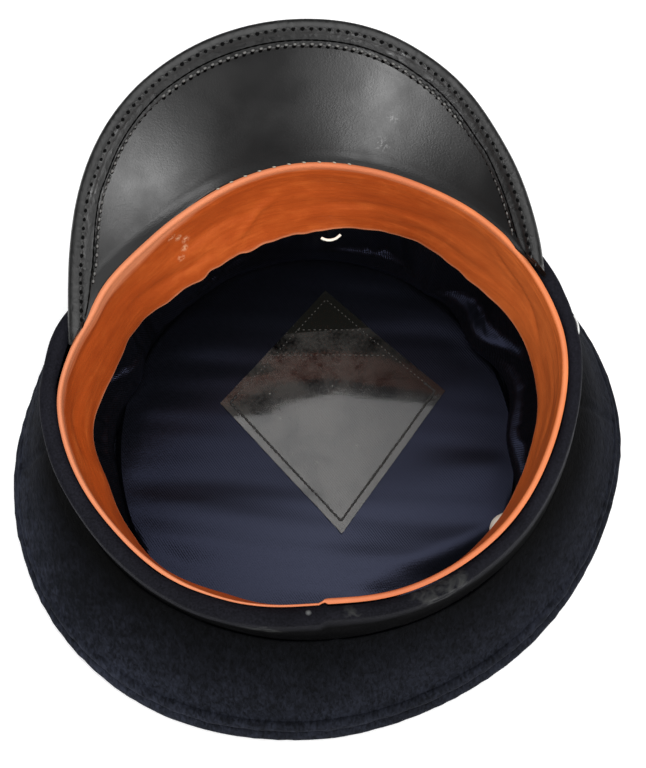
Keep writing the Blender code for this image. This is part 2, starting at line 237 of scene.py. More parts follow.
def sums(material, way, first, second):
    """One step of arithmetic on two values."""
    return wire(material, "Math", {0: first, 1: second}, operation=way).outputs["Value"]


def led(material, value, first, last, low=0.0, high=1.0):
    """Leads a value from one range into another, and holds it there."""
    return wire(material, "MapRange", {
        "Value": value, "From Min": first, "From Max": last, "To Min": low, "To Max": high,
    }).outputs["Result"]


def relief(material, value, strength, height, under=None):
    """Raises the surface by a value, on top of the relief under it."""
    inputs = {"Height": value, "Strength": strength, "Distance": height}
    if under is not None:
        inputs["Normal"] = under
    return wire(material, "Bump", inputs).outputs["Normal"]


def move_points(mesh, moved):
    """Moves each point of a mesh by the vector that moved gives for it."""
    offsets = [moved(vertex.co.copy(), vertex.normal.copy()) for vertex in mesh.vertices]
    for vertex, offset in zip(mesh.vertices, offsets):
        vertex.co += offset
    mesh.update()


navy_wool = finish(
    "navy_wool", wool_dark, 0.85, Specular_IOR_Level=0.06, Sheen_Weight=0.012, Sheen_Roughness=0.5,
    Sheen_Tint=(0.35, 0.40, 0.62, 1.0),
)
on_wool = wire(navy_wool, "TexCoord").outputs["Object"]
wool_nap = grain(navy_wool, on_wool, 900.0, stretch=(1.0, 0.45, 0.8), turn=0.6, detail=4.0, warp=0.6)
wool_clumps = grain(navy_wool, on_wool, 210.0, detail=4.0, warp=0.4)
wool_patches = grain(navy_wool, on_wool, 28.0)
wool_tone = sums(navy_wool, "MULTIPLY", wool_nap, sums(navy_wool, "ADD", wool_clumps, wool_patches))
wool_place = wire(navy_wool, "SeparateXYZ", {"Vector": on_wool}).outputs
# Painted shade and light: the wool takes the shaded colours near the band, where its shadow falls, and the lit ones
# towards the edge, only half as strongly from the middle to the right.
wool_side = led(navy_wool, wool_place["X"], -0.125, -0.015, 1.0, 0.50)
wool_low = led(navy_wool, wool_place["Z"], 0.032, 0.0095)
wool_lit_share = sums(navy_wool, "MULTIPLY", wool_low, wool_side)
join(navy_wool, mixed(
    navy_wool, wool_lit_share,
    shades(navy_wool, wool_tone, (0.30, wool_deep_shade), (0.75, wool_shade)),
    shades(navy_wool, wool_tone, (0.32, wool_dark), (0.78, wool_light)),
), "Base Color")
wool_relief = relief(navy_wool, wool_clumps, 0.5, 0.0010)
join(navy_wool, relief(navy_wool, wool_nap, 0.8, 0.0005, wool_relief), "Normal")


def top_move(point, normal):
    """The thickness of the wool round the panel's edge, which is a little uneven."""
    return Vector((normal.x, normal.y, 0.0)) * (0.0007 + noise.noise(point * 300.0) * 0.0004)


top_panel = soft_copy("crown_top", 2)
move_points(top_panel, top_move)
show("top_panel", top_panel, navy_wool, "navy_wool", "crown_top")

# ---- The piping
# A thin cord covered in the same wool, sewn into the seam between the top panel and the quarters.

piping = soft_copy("crown_piping", 2)
move_points(piping, lambda point, normal: normal * (0.0013 + noise.noise(point * 300.0) * 0.0005))
show("piping", piping, navy_wool, "navy_wool", "crown_piping")

# ---- The quarters
# Four shaped pieces of the wool, sewn together at the front, the rear and the sides.
# They spread out from the foot of the band to the piping, and lie in soft waves.

seam_angles = (0.0, 90.0, 180.0, 270.0)
seam_width = 0.0016
seam_depth = 0.0009


def nearness(value, middle, spread):
    """How near a value is to a middle: 1 there, and 0 far off."""
    return math.exp(-((value - middle) / spread) ** 2)


def ramp_up(value, start, end):
    """Rises smoothly from 0 at start to 1 at end."""
    share = min(max((value - start) / (end - start), 0.0), 1.0)
    return share * share * (3.0 - 2.0 * share)


def round_cap(point):
    """Angle round the cap in degrees, from the front towards the right, from 0 to 360."""
    return math.degrees(math.atan2(point.x, point.y)) % 360.0


def quarter_move(point, normal):
    """Waves and seams of the quarters."""
    radius = math.hypot(point.x, point.y)
    outward = Vector((point.x / radius, point.y / radius, 0.75)).normalized()
    nap = noise.noise(Vector((point.x * 22.0, point.y * 22.0, 3.0)))
    wave = noise.noise(Vector((point.x * 60.0, point.y * 60.0, point.z * 30.0)))
    seam = 0.0
    for angle in seam_angles:
        away = (round_cap(point) - angle + 180.0) % 360.0 - 180.0
        seam += nearness(math.radians(away) * radius, 0.0, seam_width)
    free = min(max((point.z - 0.008) / 0.006, 0.0), 1.0) * min(max((0.052 - point.z) / 0.01, 0.0), 1.0)
    foot = (1.0 - ramp_up(point.z, 0.0085, 0.019)) * ramp_up(abs(point.x) / radius, 0.55, 0.85)
    spread = Vector((point.x / radius, point.y / radius, -0.15)) * foot * 0.0022
    spread += Vector((point.x, point.y, 0.0)) / radius * (1.0 - ramp_up(point.z, 0.012, 0.050)) * 0.0009
    left = nearness(round_cap(point), 287.0, 8.0) * 0.0024 + nearness(round_cap(point), 263.0, 5.0) * 0.0008
    return outward * (nap * 0.0009 + wave * 0.0005 - seam * seam_depth + left) * free + spread


quarters = soft_copy("crown_side", 3)
move_points(quarters, quarter_move)
show("quarters", quarters, navy_wool, "navy_wool", "crown_side")

# ---- The band
# A stiff band covered in smooth dark cloth, which is turned in over the rim.
# The cloth is rubbed shiny along its lower rear edge.

band_dark = (0.0030, 0.0030, 0.0046, 1.0)
band_light = (0.0105, 0.0104, 0.0154, 1.0)
# Painted shade: darker colours for the band's foot, below the rim.
foot_shade_dark = (0.0008, 0.0008, 0.0009, 1.0)
foot_shade_light = (0.0038, 0.0038, 0.0042, 1.0)
worn_shine = (0.0260, 0.0265, 0.0262, 1.0)
lint_white = (0.12, 0.125, 0.125, 1.0)

band_cloth = finish("band_cloth", band_dark, 0.75, Sheen_Roughness=0.4, Sheen_Tint=(0.45, 0.47, 0.62, 1.0))
on_band_cloth = wire(band_cloth, "TexCoord").outputs["Object"]
band_weave = grain(band_cloth, on_band_cloth, 1300.0, stretch=(1.0, 1.0, 0.5))
band_patches = grain(band_cloth, on_band_cloth, 60.0, detail=5.0, warp=0.5)
band_tone = sums(band_cloth, "MULTIPLY", band_weave, sums(band_cloth, "ADD", band_patches, 0.45))
band_height = wire(band_cloth, "SeparateXYZ", {"Vector": on_band_cloth}).outputs["Z"]
# Painted shade: towards the foot the cloth is painted darker and loses its sheen and most of its gloss.
band_foot_shade = led(band_cloth, band_height, 0.080, 0.058)
join(band_cloth, led(band_cloth, band_foot_shade, 0.0, 1.0, 0.07, 0.01), "Specular IOR Level")
join(band_cloth, led(band_cloth, band_foot_shade, 0.0, 1.0, 0.026, 0.0), "Sheen Weight")
band_colour = mixed(
    band_cloth, band_foot_shade, shades(band_cloth, band_tone, (0.25, band_dark), (0.75, band_light)),
    shades(band_cloth, band_tone, (0.25, foot_shade_dark), (0.75, foot_shade_light)),
)


def close_to(material, place, middle, full, none):
    """A share that is 1 within a distance of a point, and falls to 0 further off."""
    away = wire(material, "VectorMath", {0: place, 1: middle}, operation="DISTANCE").outputs["Value"]
    return led(material, away, none, full)


worn_places = sums(
    band_cloth, "ADD",
    close_to(band_cloth, on_band_cloth, (-0.0290, -0.0932, 0.0610), 0.006, 0.020),
    sums(
        band_cloth, "ADD",
        close_to(band_cloth, on_band_cloth, (0.0400, -0.0870, 0.0710), 0.007, 0.024),
        close_to(band_cloth, on_band_cloth, (0.0050, -0.0928, 0.0728), 0.001, 0.010),
    ),
)
worn_marks = grain(band_cloth, on_band_cloth, 230.0, stretch=(1.0, 1.0, 1.6), detail=4.0, warp=0.6)
worn_share = shades(
    band_cloth, sums(band_cloth, "MULTIPLY", worn_marks, worn_places),
    (0.40, grey(0.0)), (0.66, grey(1.0)),
)
band_worn = mixed(band_cloth, worn_share, band_colour, worn_shine)
lint_share = close_to(band_cloth, on_band_cloth, (-0.0110, -0.0917, 0.0722), 0.0004, 0.0014)
join(band_cloth, mixed(band_cloth, lint_share, band_worn, lint_white), "Base Color")
join(band_cloth, shades(band_cloth, worn_share, (0.0, grey(0.72)), (1.0, grey(0.42))), "Roughness")
join(band_cloth, relief(band_cloth, band_weave, 0.5, 0.0003), "Normal")

rim_height = 0.0838
rim_set_back = 0.0016
rim_tilt = math.radians(6.5)
rim_down = Vector((0.0, math.sin(rim_tilt), -math.cos(rim_tilt)))
band_drawn = (-0.004, 0.042)


def on_band(point):
    """Angle round the tilted opening in degrees, radius from its axis, and depth below the rim."""
    y = point.y + rim_set_back
    z = point.z - rim_height
    along = y * math.cos(rim_tilt) + z * math.sin(rim_tilt)
    depth = y * math.sin(rim_tilt) - z * math.cos(rim_tilt)
    return math.degrees(math.atan2(point.x, along)), math.hypot(point.x, along), depth


def inward_at(angle):
    """Direction towards the opening's axis, in its tilted plane."""
    turn = math.radians(angle)
    return Vector((
        -math.sin(turn),
        -math.cos(turn) * math.cos(rim_tilt),
        -math.cos(turn) * math.sin(rim_tilt),
    ))


# Where the rim is drawn out of its even oval: middle angle, spread and distance, in mm
rim_pulls = (
    (-150.0, 25.0, 1.7), (-88.0, 18.0, 1.1), (-56.0, 12.0, 1.4), (-22.0, 17.0, -1.5),
    (66.0, 14.0, 0.8), (108.0, 24.0, -3.3), (162.0, 14.0, 0.6),
    (-176.0, 12.0, -1.3), (-125.0, 14.0, -0.5), (-89.0, 7.0, 0.6), (-70.0, 6.0, -1.0),
)

# Where the leather's loose edge stands off its even oval: middle angle, spread and distance outwards, in mm
loose_edge = (
    (-132.0, 14.0, 2.2), (-107.0, 7.0, -1.4), (-91.0, 8.0, 1.9), (-71.0, 9.0, -1.2), (68.0, 14.0, 2.3),
)


def rim_cover(angle):
    """How much of the leather's fold the band's cloth covers at the left and the rear left."""
    cover = 0.0009 * ramp_up(-angle, 66.0, 84.0) + 0.0008 * ramp_up(-angle, 118.0, 145.0)
    return cover * (1.0 - ramp_up(-angle, 175.5, 177.5))


def fold_thin(angle):
    """The share of the leather's fold that the band's cloth is drawn over."""
    share = 0.20 * ramp_up(-angle, 66.0, 84.0) + 0.05 * ramp_up(-angle, 112.0, 125.0)
    share += 0.33 * ramp_up(-angle, 136.0, 154.0)
    return share * (1.0 - ramp_up(-angle, 176.6, 177.6))


def beside_peak(angle):
    """A share that is 1 where the peak is sewn in, and 0 elsewhere."""
    return ramp_up(angle, -74.0, -64.0) * (1.0 - ramp_up(angle, 56.0, 66.0))


def rim_out(angle):
    """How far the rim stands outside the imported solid."""
    total = 1.7 + rim_cover(angle) * 1000.0
    for middle, spread, pull in rim_pulls:
        total += pull * nearness((angle - middle + 180.0) % 360.0 - 180.0, 0.0, spread)
    return total * 0.001


def rim_pull(point, full, none):
    """Draws a point out with the rim: wholly down to one depth, and not at all below another."""
    angle, radius, depth = on_band(point)
    return inward_at(angle) * -rim_out(angle) * (1.0 - ramp_up(depth, full, none))


def leather_pull(point):
    """Draws the leather out with the rim, and up over the peak where the peak is sewn in."""
    angle, radius, depth = on_band(point)
    share = beside_peak(angle)
    pull = (inward_at(angle) * -(1.0 - 0.20 * share) - rim_down * 0.90 * share) * rim_out(angle)
    slack = 0.0
    for middle, spread, out in loose_edge:
        slack += out * nearness(angle, middle, spread)
    loose = inward_at(angle) * slack * 0.001 * ramp_up(depth, 0.008, 0.022)
    return pull * (1.0 - ramp_up(depth, 0.004, 0.034)) - loose


def band_move(point, normal):
    """The band's cloth is uneven where it is turned in, and covers part of the leather's fold at the left."""
    wave = noise.noise(Vector((point.x * 45.0, point.y * 45.0, point.z * 60.0)))
    small = noise.noise(Vector((point.x * 160.0, point.y * 160.0, point.z * 160.0)))
    angle = math.degrees(math.atan2(point.x, point.y))
    radius = math.hypot(point.x, point.y)
    facing_in = max(0.0, -normal.x * point.x - normal.y * point.y)
    lip = (1.0 - ramp_up(on_band(point)[2], 0.0015, 0.0035)) * facing_in / radius
    over = 0.0005 + fold_thin(angle) * 0.0040
    bulge = nearness(angle, -72.0, 9.0) * 0.0024 * (1.0 - lip)
    inward = Vector((-point.x / radius, -point.y / radius, 0.0))
    uneven = normal * (wave * 0.00035 + small * 0.00012)
    drawn = rim_pull(point, *band_drawn) * (1.0 - 0.85 * beside_peak(angle))
    return uneven + inward * (over * lip - bulge) + drawn


band = soft_copy("cap_band", 3)
move_points(band, band_move)
show("band", band, band_cloth, "band_cloth", "cap_band")

# ---- The lining's tip
# A flat oval of navy satin twill on the inside of the top panel. It is cut a little full,
# so that it lies in low ripples.

satin_dark = (0.0012, 0.0013, 0.0017, 1.0)
satin_light = (0.0052, 0.0056, 0.0080, 1.0)
# Tints of the satin's gloss for a painted reflection: full near the rear of the tip, dimmer further off.
satin_shine = (0.56, 0.62, 1.0, 1.0)
satin_far_shine = (0.25, 0.28, 0.50, 1.0)
tip_half_width = 0.0845
tip_half_length = 0.0905
tip_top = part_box("crown_lining")[1][2]
tip_thickness = 0.0010
tip_puff = 0.0036

navy_satin = finish("navy_satin", satin_dark, 0.29, Specular_IOR_Level=0.34)
on_satin = wire(navy_satin, "Attribute", attribute_name="cloth_place").outputs["Vector"]
twill_laid = wire(navy_satin, "Mapping", {"Vector": on_satin, "Rotation": (0.0, 0.0, math.radians(-30.0))})
twill_lines = wire(navy_satin, "TexWave", {
    "Vector": twill_laid.outputs["Vector"], "Scale": 350.0, "Distortion": 1.6, "Detail": 3.0,
}).outputs["Fac"]
satin_thread = grain(navy_satin, on_satin, 1500.0, stretch=(0.3, 1.0, 1.0), detail=2.0)
satin_tone = sums(navy_satin, "MULTIPLY", sums(navy_satin, "ADD", twill_lines, 0.6), satin_thread)
join(navy_satin, shades(navy_satin, satin_tone, (0.2, satin_dark), (0.9, satin_light)), "Base Color")
satin_relief = relief(navy_satin, twill_lines, 0.38, 0.00014)
join(navy_satin, relief(navy_satin, satin_thread, 0.25, 0.0002, satin_relief), "Normal")
# Painted reflection: the gloss is tinted full near a spot at the rear of the tip, where the overhead light reflects,
# and dimmer with distance from it.
satin_away = wire(navy_satin, "VectorMath", {
    0: wire(navy_satin, "TexCoord").outputs["Object"], 1: (0.004, -0.050, 0.008),
}, operation="DISTANCE").outputs["Value"]
satin_painted_dimming = led(navy_satin, satin_away, 0.012, 0.080)
join(navy_satin, mixed(navy_satin, satin_painted_dimming, satin_shine, satin_far_shine), "Specular Tint")


def lay_cloth(mesh, place):
    """Notes where each point of a piece lies on the flat cloth, for its weave."""
    laid = mesh.attributes.new("cloth_place", "FLOAT_VECTOR", "POINT")
    for vertex in mesh.vertices:
        laid.data[vertex.index].vector = place(vertex.co)


def tip_rise(x, y):
    """How far the tip puffs up and ripples; the clear sheet on it follows."""
    long_wave = noise.noise(Vector((x * 9.0 + 4.0, y * 60.0, 1.0)))
    short_wave = noise.noise(Vector((x * 14.0, y * 120.0 + x * 20.0, 5.0)))
    within = 1.0 - math.hypot(x / tip_half_width, y / tip_half_length)
    covered = math.exp(-((x - 0.0085) / 0.046) ** 4)
    hump = 0.0030 - 0.0068 * nearness(x, 0.0085, 0.026) + noise.noise(Vector((x * 60.0, 3.0, 3.0))) * 0.0010
    under_cover = 1.0 - ramp_up(y + hump, 0.015, 0.074)
    beside_cover = min(max((0.085 - y) / 0.105, 0.0), 1.0)
    right = ramp_up(x, -0.005, 0.020)
    fold = -0.066 + (x - 0.008) * 0.32
    rear = ramp_up(y, -0.090, -0.030) * (1.0 - right) + ramp_up(y, fold - 0.010, fold + 0.008) * right
    puff = rear * (under_cover * covered + beside_cover * (1.0 - covered))
    calm = 1.0 - 0.97 * nearness(math.hypot(x - 0.0085, (y - 0.018) * 0.9), 0.0, 0.052)
    waves = (long_wave * 0.0015 + short_wave * 0.0006) * calm * ramp_up(within, 0.0, 0.15)
    return puff * tip_puff * (1.8 - 0.8 * covered) * ramp_up(within, 0.0, 0.03) + waves


tip_shape = bmesh.new()
bmesh.ops.create_grid(tip_shape, x_segments=120, y_segments=120, size=1.0)
for point in tip_shape.verts:
    across, along = point.co.x, point.co.y
    point.co.x = across * math.sqrt(1.0 - along * along / 2.0) * tip_half_width
    point.co.y = along * math.sqrt(1.0 - across * across / 2.0) * tip_half_length
    point.co.z = tip_top + tip_rise(point.co.x, point.co.y)
bmesh.ops.recalc_face_normals(tip_shape, faces=tip_shape.faces)
bmesh.ops.solidify(tip_shape, geom=tip_shape.faces[:], thickness=tip_thickness)
tip_mesh = closed_mesh("lining_tip", tip_shape)
lay_cloth(tip_mesh, lambda point: (point.x, point.y, 0.0))
lining_tip = show("lining_tip", tip_mesh, navy_satin, "navy_satin", "crown_lining")

# ---- The lining's side
# A strip of the same satin, gathered onto the tip and sewn in behind the sweatband.

side_lining = soft_copy("side_lining", 3)

# Folds where the side is loose: middle angle, spread, height, how far each stands in, in mm, and its climb per degree
side_rolls = (
    (58.0, 12.0, 0.0178, 7.8, 0.00024), (94.0, 20.0, 0.0130, 4.6, 0.0), (-63.0, 11.0, 0.0200, 2.6, -0.00028),
    (-84.0, 12.0, 0.0140, 2.2, -0.0001), (20.0, 14.0, 0.0170, 2.5, 0.0), (-24.0, 16.0, 0.0150, 2.0, 0.0),
)


def side_move(point, normal):
    """Loose folds and small gathers between the side lining's large folds."""
    angle = math.degrees(math.atan2(point.x, point.y))
    turn = math.radians(angle)
    low = ramp_up(0.042 - point.z, 0.0, 0.02) * ramp_up(point.z, 0.004, 0.009)
    gather = noise.noise(Vector((math.sin(turn) * 9.0, math.cos(turn) * 9.0, point.z * 25.0)))
    pleat = noise.noise(Vector((math.sin(turn) * 26.0, math.cos(turn) * 26.0, point.z * 14.0)))
    inward = Vector((-math.sin(turn), -math.cos(turn), 0.35))
    roll = 0.0
    for middle, half, height, stand, climb in side_rolls:
        top = height + (angle - middle) * climb
        roll += stand * nearness(angle, middle, half) * ramp_up(top + 0.002 - point.z, 0.0, 0.0038)
    smooth = 1.0 - 0.9 * min(roll / 2.0, 1.0)
    return inward * ((abs(gather) * 0.0018 + pleat * 0.0009) * smooth + roll * 0.001) * low + leather_pull(point)


move_points(side_lining, side_move)
lay_cloth(side_lining, lambda point: (math.atan2(point.x, point.y) * 0.09, point.z, 0.0))
lining_side = show("lining_side", side_lining, navy_satin, "navy_satin", "side_lining")

# ---- The sweat shield
# A clear sheet of aged celluloid over the middle of the tip, machine-sewn a little inside its edge.
# Two more rows of stitches cross its front corner, and the corner in front of them is dark.

cover_middle = (0.0085, 0.0222)
cover_turn = math.radians(1.6)
cover_front = 0.0525
cover_rear = 0.0608
cover_half_width = 0.0475
cover_cells = 45
cover_margin_cells = 2
cover_wall = 0.0005
cover_lift = tip_top + 0.0003
film_haze = (0.030, 0.029, 0.028, 1.0)
# The pale grey is partly the celluloid's haze and partly a painted reflection of the room's light.
film_pale = (0.052, 0.050, 0.046, 1.0)
film_dark = (0.012, 0.012, 0.010, 1.0)


def on_cover(across, along):
    """Turns a place on the diamond, by its shares of the half diagonals, into level coordinates."""
    x = across * cover_half_width
    y = along * (cover_front if along > 0.0 else cover_rear)
    return (
        x * math.cos(cover_turn) + y * math.sin(cover_turn) + cover_middle[0],
        y * math.cos(cover_turn) - x * math.sin(cover_turn) + cover_middle[1],
    )


def diamond_sheet(name, kept):
    """A diamond of thin sheet laid over the tip; kept says which of its cells belong to it."""
    shape = bmesh.new()
    bmesh.ops.create_grid(shape, x_segments=cover_cells, y_segments=cover_cells, size=1.0)
    outside = [face for face in shape.faces if not kept(max(abs(v) for v in face.calc_center_median()[:2]))]
    bmesh.ops.delete(shape, geom=outside, context="FACES")
    for point in shape.verts:
        u, v = point.co.x, point.co.y
        x, y = on_cover((u + v) / 2.0, (v - u) / 2.0)
        point.co = (x, y, cover_lift + cover_wall + tip_rise(x, y))
    bmesh.ops.recalc_face_normals(shape, faces=shape.faces)
    if sum(face.normal.z for face in shape.faces) < 0.0:
        bmesh.ops.reverse_faces(shape, faces=shape.faces)
    bmesh.ops.solidify(shape, geom=shape.faces[:], thickness=cover_wall)
    return closed_mesh(name, shape)


clear_sheet = finish("clear_sheet", film_haze, 0.10, Alpha=0.55, IOR=1.6)
on_film = wire(clear_sheet, "TexCoord").outputs["Object"]
film_place = wire(clear_sheet, "SeparateXYZ", {"Vector": on_film}).outputs
film_mottle = grain(clear_sheet, on_film, 90.0, detail=5.0, warp=0.4)
film_speckle = grain(clear_sheet, on_film, 700.0)
# The sheet's mottled grey is partly aged haze and partly painted reflection.
film_haze_and_reflection = shades(
    clear_sheet, sums(clear_sheet, "MULTIPLY", film_mottle, sums(clear_sheet, "ADD", film_speckle, 0.5)),
    (0.28, grey(0.002)), (0.60, film_pale),
)
# Painted shade: towards the right the sheet is painted darker, with weaker gloss, for a dimmer reflection there.
film_right_painted_dimming = led(clear_sheet, film_place["X"], 0.008, 0.045, 0.0, 0.7)
film_haze_and_reflection = mixed(clear_sheet, film_right_painted_dimming, film_haze_and_reflection, grey(0.004))
film_corner = led(clear_sheet, film_place["Y"], 0.0545, 0.0550)
join(clear_sheet, mixed(clear_sheet, film_corner, film_haze_and_reflection, film_dark), "Base Color")
join(clear_sheet, led(clear_sheet, film_place["X"], 0.008, 0.045, 0.56, 0.42), "Specular IOR Level")
film_relief = relief(clear_sheet, film_mottle, 0.08, 0.0004)
join(clear_sheet, relief(clear_sheet, film_speckle, 0.10, 0.0002, film_relief), "Normal")

margin = 1.0 - 2.0 * cover_margin_cells / cover_cells
clear_cover = diamond_sheet("clear_cover", lambda spot: spot < margin)
show("clear_cover", clear_cover, clear_sheet, "clear_sheet", "sweat_shield")
cover_margin = diamond_sheet("cover_margin", lambda spot: spot > margin)
show("cover_margin", cover_margin, clear_sheet, "black_tape", "shield_border")


def sew(shape, start, end, up, width, rise):
    """One stitch: a short rounded thread from start to end, half sunk in what it is sewn through."""
    along = end - start
    side = up.cross(along).normalized()
    out = along.cross(side).normalized()
    if out.dot(up) < 0.0:
        out = -out
    turn = Matrix((along.normalized(), side, out)).transposed().to_4x4()
    size = Matrix.Diagonal((along.length / 2.0, width / 2.0, width * rise, 1.0))
    place = Matrix.Translation((start + end) / 2.0)
    bmesh.ops.create_uvsphere(shape, u_segments=8, v_segments=4, radius=1.0, matrix=place @ turn @ size)


def thread_piece(name, shape, material, slot):
    """Closes a bundle of stitches into one piece."""
    return show(name, closed_mesh(name, shape), material, slot)


black_thread = finish("black_thread", grey(0.004), 0.6)
# A pale thread: a painted highlight on the same dark thread, where its stitches catch the light.
painted_highlight_thread = finish("painted_highlight_thread", (0.070, 0.068, 0.062, 1.0), 0.45)
straight_up = Vector((0.0, 0.0, 1.0))
thread_rise = 0.00008
side_stitches = 30
pale_front = 0.026


def cover_point(u, v):
    """A point on the clear cover, by the shares of its two square sides."""
    x, y = on_cover((u + v) / 2.0, (v - u) / 2.0)
    return Vector((x, y, cover_lift + cover_wall + tip_rise(x, y) + thread_rise))


dark_stitches = bmesh.new()
pale_stitches = bmesh.new()
for side in range(4):
    for index in range(side_stitches):
        ends = []
        for reach in (-0.05, 1.05):
            share = -margin + 2.0 * margin * (index + reach) / side_stitches
            ends.append(cover_point(*(
                (share, margin), (share, -margin), (margin, share), (-margin, share),
            )[side]))
        start, end = ends
        # Towards the front, and in the two cross rows, the stitches take the pale thread: a painted highlight.
        if (start.y + end.y) / 2.0 > pale_front:
            middle = (start + end) / 2.0
            sew(pale_stitches, middle.lerp(start, 0.38), middle.lerp(end, 0.38), straight_up, 0.00045, 0.6)
        else:
            sew(dark_stitches, start, end, straight_up, 0.00115, 0.35)
cross_turn = math.tan(math.radians(5.0))
for row_y, row_half in ((0.0550, 0.0140), (0.0425, 0.0235)):
    count = round(2.0 * row_half / 0.0023)
    for index in range(count):
        away = -row_half + 2.0 * row_half * (index + 0.5) / count
        x, y = cover_middle[0] + 0.001 + away, row_y - away * cross_turn
        middle = Vector((x, y, cover_lift + cover_wall + tip_rise(x, y) + thread_rise))
        reach = Vector((0.0006, -0.0006 * cross_turn, 0.0))
        sew(pale_stitches, middle - reach, middle + reach, straight_up, 0.0004, 0.6)
dust = bmesh.new()
for u, v in ((-0.62, -0.50), (0.02, -0.80), (0.30, -0.66), (-0.34, -0.62), (-0.10, 0.10), (0.55, -0.20)):
    speck = cover_point(u, v)
    sew(dust, speck, speck + Vector((0.0005, 0.0003, 0.0)), straight_up, 0.0004, 0.4)
thread_piece("cover_dust", dust, finish("dust", (0.30, 0.30, 0.28, 1.0), 0.8), "white_card")
thread_piece("cover_stitches", dark_stitches, black_thread, "black_tape")
thread_piece("cover_stitches_front", pale_stitches, painted_highlight_thread, "white_card")

# ---- The sweatband
# A strip of tan leather, folded over a thin cord at the rim and sewn on, and loose at its lower edge.
# Wear has drawn it into long fine wrinkles, and left its fold and its cut edge paler; that paleness is partly a painted
# highlight.

tan_deep = (0.320, 0.048, 0.0056, 1.0)
tan_mid = (0.385, 0.064, 0.0080, 1.0)
tan_pale = (0.570, 0.125, 0.0220, 1.0)
# A paler tan for the fold and the cut edge: partly wear and partly painted highlight.
tan_wear_and_highlight = (0.680, 0.265, 0.1350, 1.0)
# Paler tans for the right side of the leather: painted light.
tan_lit_right = (0.50, 0.105, 0.020, 1.0)
tan_lit_right_pale = (0.76, 0.20, 0.045, 1.0)
scratch_pale = (0.66, 0.33, 0.18, 1.0)

leather_depth = 0.0385
fold_depth = 0.0040
fold_step = 4.0

# Creases: angle and depth share at each end, how deep it is in mm, and how wide in shares of the depth
leather_creases = (
    (-20.0, 0.78, -7.0, 0.40, -0.9, 0.05),
    (56.0, 0.30, 80.0, 0.62, 0.9, 0.035),
    (-84.0, 0.25, -62.0, 0.20, 0.8, 0.05),
    (-60.0, 0.62, -28.0, 0.80, 0.6, 0.05),
    (-45.0, 0.45, -10.0, 0.55, 0.5, 0.05),
    (5.0, 0.62, 40.0, 0.50, 0.6, 0.05),
    (20.0, 0.80, 62.0, 0.72, 0.5, 0.05),
    (84.0, 0.40, 118.0, 0.62, 0.5, 0.06),
    (-116.0, 0.46, -84.0, 0.52, 0.4, 0.06),
)


def crease_at(angle, share):
    """How far the creases draw the leather out, in mm."""
    total = 0.0
    for first, first_share, last, last_share, deep, wide in leather_creases:
        way = (angle - first) / (last - first)
        line = first_share + (last_share - first_share) * way + 0.02 * math.sin(way * 9.0 + first)
        ends = ramp_up(way, -0.15, 0.2) * (1.0 - ramp_up(way, 0.8, 1.15))
        total += deep * nearness(share, line, wide) * ends
    return total


sweatband = soft_copy("sweatband", 3)

# The fold's least distance from the opening's axis, at each fold_step degrees round it
fold_inside = [1.0] * round(360.0 / fold_step)
for vertex in sweatband.vertices:
    angle, radius, depth = on_band(vertex.co)
    spot = round((angle + 180.0) / fold_step) % len(fold_inside)
    if depth < fold_depth:
        fold_inside[spot] = min(fold_inside[spot], radius)


def leather_move(point, normal):
    """Long wrinkles and creases of the sweatband, its scalloped edge, and the line beside its fold."""
    angle, radius, depth = on_band(point)
    turn = math.radians(angle)
    share = depth / leather_depth
    loose = ramp_up(depth, 0.004, 0.014)
    x, y = math.sin(turn), math.cos(turn)
    front = ramp_up(y, -0.3, 0.5)
    long_fold = noise.noise(Vector((x * 4.0, y * 4.0, depth * 90.0)))
    wrinkle = noise.noise(Vector((x * 6.0, y * 6.0, depth * 300.0 + 7.0)))
    edge_wave = noise.noise(Vector((x * 11.0, y * 11.0, 9.0))) * ramp_up(share, 0.55, 1.0)
    edge_wave *= 0.15 + 0.85 * ramp_up(y, 0.3, 0.8)
    edge_wave *= 0.4 + 0.6 * ramp_up(-x, -0.1, 0.4)
    fold_out = (1.0 - ramp_up(depth, 0.0022, 0.0045)) * (0.00025 + 0.00035 * front)
    bead_line = nearness(depth, 0.0042, 0.0006)
    level = (long_fold * 0.0009 + wrinkle * 0.00016) * loose + edge_wave * 0.0010
    level -= crease_at(angle, share) * 0.001 * loose
    spot = (angle + 180.0) / fold_step
    onward = spot - int(spot)
    here, after = (fold_inside[(int(spot) + step) % len(fold_inside)] for step in (0, 1))
    inside = here * (1.0 - onward) + after * onward
    level += max(radius - inside, 0.0) * fold_thin(angle) * (1.0 - ramp_up(depth, 0.0035, 0.0070))
    drop = rim_down * edge_wave * 0.0022
    return inward_at(angle) * (level - fold_out - bead_line * 0.0003) + drop + leather_pull(point)


def note_share(mesh, name, share):
    """Writes a share on each point of a piece, for its material to read."""
    noted = mesh.attributes.new(name, "FLOAT", "POINT")
    for vertex in mesh.vertices:
        noted.data[vertex.index].value = share(vertex.co)


note_share(sweatband, "cut_edge", lambda point: ramp_up(
    on_band(point)[2], leather_depth - 0.0016, leather_depth - 0.0004,
))
move_points(sweatband, leather_move)
tan_leather = finish("tan_leather", tan_mid, 0.50, Specular_IOR_Level=0.30, Specular_Tint=(1.0, 0.85, 0.72, 1.0))
on_leather = wire(tan_leather, "TexCoord").outputs["Object"]
leather_grain = grain(tan_leather, on_leather, 1100.0)
leather_streaks = grain(tan_leather, on_leather, 24.0, stretch=(1.0, 1.0, 3.0), detail=5.0, warp=0.4)
leather_lines = grain(tan_leather, on_leather, 90.0, stretch=(1.0, 1.0, 7.0), detail=4.0, warp=0.3)
leather_blots = grain(tan_leather, on_leather, 160.0, detail=5.0, warp=0.6)
leather_tone = sums(tan_leather, "ADD", sums(tan_leather, "MULTIPLY", leather_streaks, 0.45), sums(
    tan_leather, "MULTIPLY", sums(tan_leather, "ADD", leather_lines, leather_blots), 0.28))
